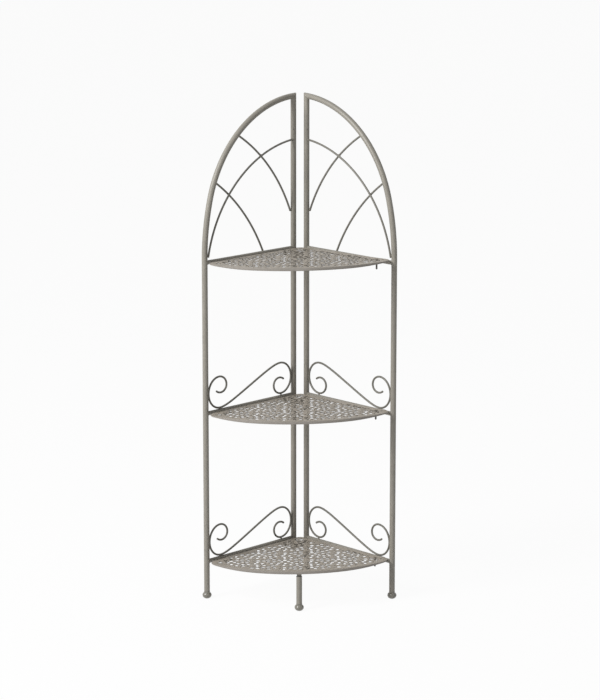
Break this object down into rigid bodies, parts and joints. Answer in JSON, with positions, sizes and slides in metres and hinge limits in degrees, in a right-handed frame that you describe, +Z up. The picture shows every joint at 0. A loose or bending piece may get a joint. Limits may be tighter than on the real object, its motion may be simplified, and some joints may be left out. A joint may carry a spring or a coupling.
{
  "type": "folding corner shelf unit",
  "caption": "Folding corner shelf unit: arched tube side frames with scroll wirework, hinged perforated quarter-round shelves and a pull-off front leg.",
  "frame": {"origin": "on the floor under the middle of the unit's bounding box", "axes": "+Z up; the shelves open towards -Y and the corner of the unit points to +Y; X runs from the left frame to the right frame as seen from the front"},
  "size_m": [0.4334, 0.3002, 1.11],
  "materials": {
    "tube_paint": "satin warm grey powder coat",
    "wire_paint": "satin warm grey powder coat",
    "sheet_paint": "satin warm grey powder coat",
    "foot_plastic": "satin grey moulded plastic",
    "dark_hardware": "dark steel"
  },
  "bodies": {
    "left_frame": {"left_outer_tube": "tube_paint", "left_outer_foot": "foot_plastic", "left_inner_tube": "tube_paint", "left_inner_plug": "foot_plastic", "left_rail_bottom": "tube_paint", "left_rail_middle": "tube_paint", "left_rail_top": "tube_paint", "left_arch_long_wire": "wire_paint", "left_arch_cross_wire": "wire_paint", "left_arch_side_wire": "wire_paint", "left_scroll_bottom": "wire_paint", "left_scroll_middle": "wire_paint", "hinge_lug_bottom_inner": "tube_paint", "hinge_lug_bottom_outer": "tube_paint", "hinge_lug_middle_inner": "tube_paint", "hinge_lug_middle_outer": "tube_paint", "hinge_lug_top_inner": "tube_paint", "hinge_lug_top_outer": "tube_paint"},
    "corner_links": {"corner_strap_bottom": "tube_paint", "corner_strap_middle": "tube_paint", "corner_strap_top": "tube_paint", "corner_rivet_bottom": "dark_hardware", "corner_rivet_middle": "dark_hardware", "corner_rivet_top": "dark_hardware"},
    "right_frame": {"right_outer_tube": "tube_paint", "right_outer_foot": "foot_plastic", "right_inner_tube": "tube_paint", "right_inner_foot": "foot_plastic", "right_rail_bottom": "tube_paint", "right_rail_middle": "tube_paint", "right_rail_top": "tube_paint", "right_arch_long_wire": "wire_paint", "right_arch_cross_wire": "wire_paint", "right_arch_side_wire": "wire_paint", "right_scroll_bottom": "wire_paint", "right_scroll_middle": "wire_paint", "rest_ledge_bottom": "tube_paint", "rest_ledge_middle": "tube_paint", "rest_ledge_top": "tube_paint"},
    "bottom_shelf": {"shelf_plate_bottom": "sheet_paint", "hinge_clip_bottom_inner": "tube_paint", "hinge_clip_bottom_outer": "tube_paint", "hinge_pin_bottom_inner": "dark_hardware", "hinge_pin_bottom_outer": "dark_hardware", "stop_pin_bottom": "dark_hardware", "leg_stub": "tube_paint"},
    "middle_shelf": {"shelf_plate_middle": "sheet_paint", "hinge_clip_middle_inner": "tube_paint", "hinge_clip_middle_outer": "tube_paint", "hinge_pin_middle_inner": "dark_hardware", "hinge_pin_middle_outer": "dark_hardware", "stop_pin_middle": "dark_hardware"},
    "top_shelf": {"shelf_plate_top": "sheet_paint", "hinge_clip_top_inner": "tube_paint", "hinge_clip_top_outer": "tube_paint", "hinge_pin_top_inner": "dark_hardware", "hinge_pin_top_outer": "dark_hardware", "stop_pin_top": "dark_hardware"},
    "pull_off_leg": {"front_leg": "tube_paint", "front_foot": "foot_plastic"}
  },
  "joints": [
    {"name": "corner_link_hinge", "type": "hinge", "parent": "left_frame", "child": "corner_links", "pos_m": [-0.0147, 0.13975, 0.4], "axis": [0, 0, 1], "range_deg": [0, 45]},
    {"name": "right_frame_hinge", "type": "hinge", "parent": "corner_links", "child": "right_frame", "pos_m": [0.0147, 0.13975, 0.4], "axis": [0, 0, 1], "range_deg": [0, 45]},
    {"name": "bottom_shelf_hinge", "type": "hinge", "parent": "left_frame", "child": "bottom_shelf", "pos_m": [-0.00685, 0.1319, 0.08125], "axis": [-0.7071, -0.7071, 0], "range_deg": [0, 88.3]},
    {"name": "middle_shelf_hinge", "type": "hinge", "parent": "left_frame", "child": "middle_shelf", "pos_m": [-0.00685, 0.1319, 0.41925], "axis": [-0.7071, -0.7071, 0], "range_deg": [0, 88.3]},
    {"name": "top_shelf_hinge", "type": "hinge", "parent": "left_frame", "child": "top_shelf", "pos_m": [-0.00685, 0.1319, 0.75725], "axis": [-0.7071, -0.7071, 0], "range_deg": [0, 88.3]},
    {"name": "leg_slide", "type": "slide", "parent": "bottom_shelf", "child": "pull_off_leg", "axis": [0, 0, -1], "range_m": [0, 0.03]}
  ],
  "couplings": [
    {"joint": "corner_link_hinge", "follows": "right_frame_hinge", "ratio": 1}
  ]
}
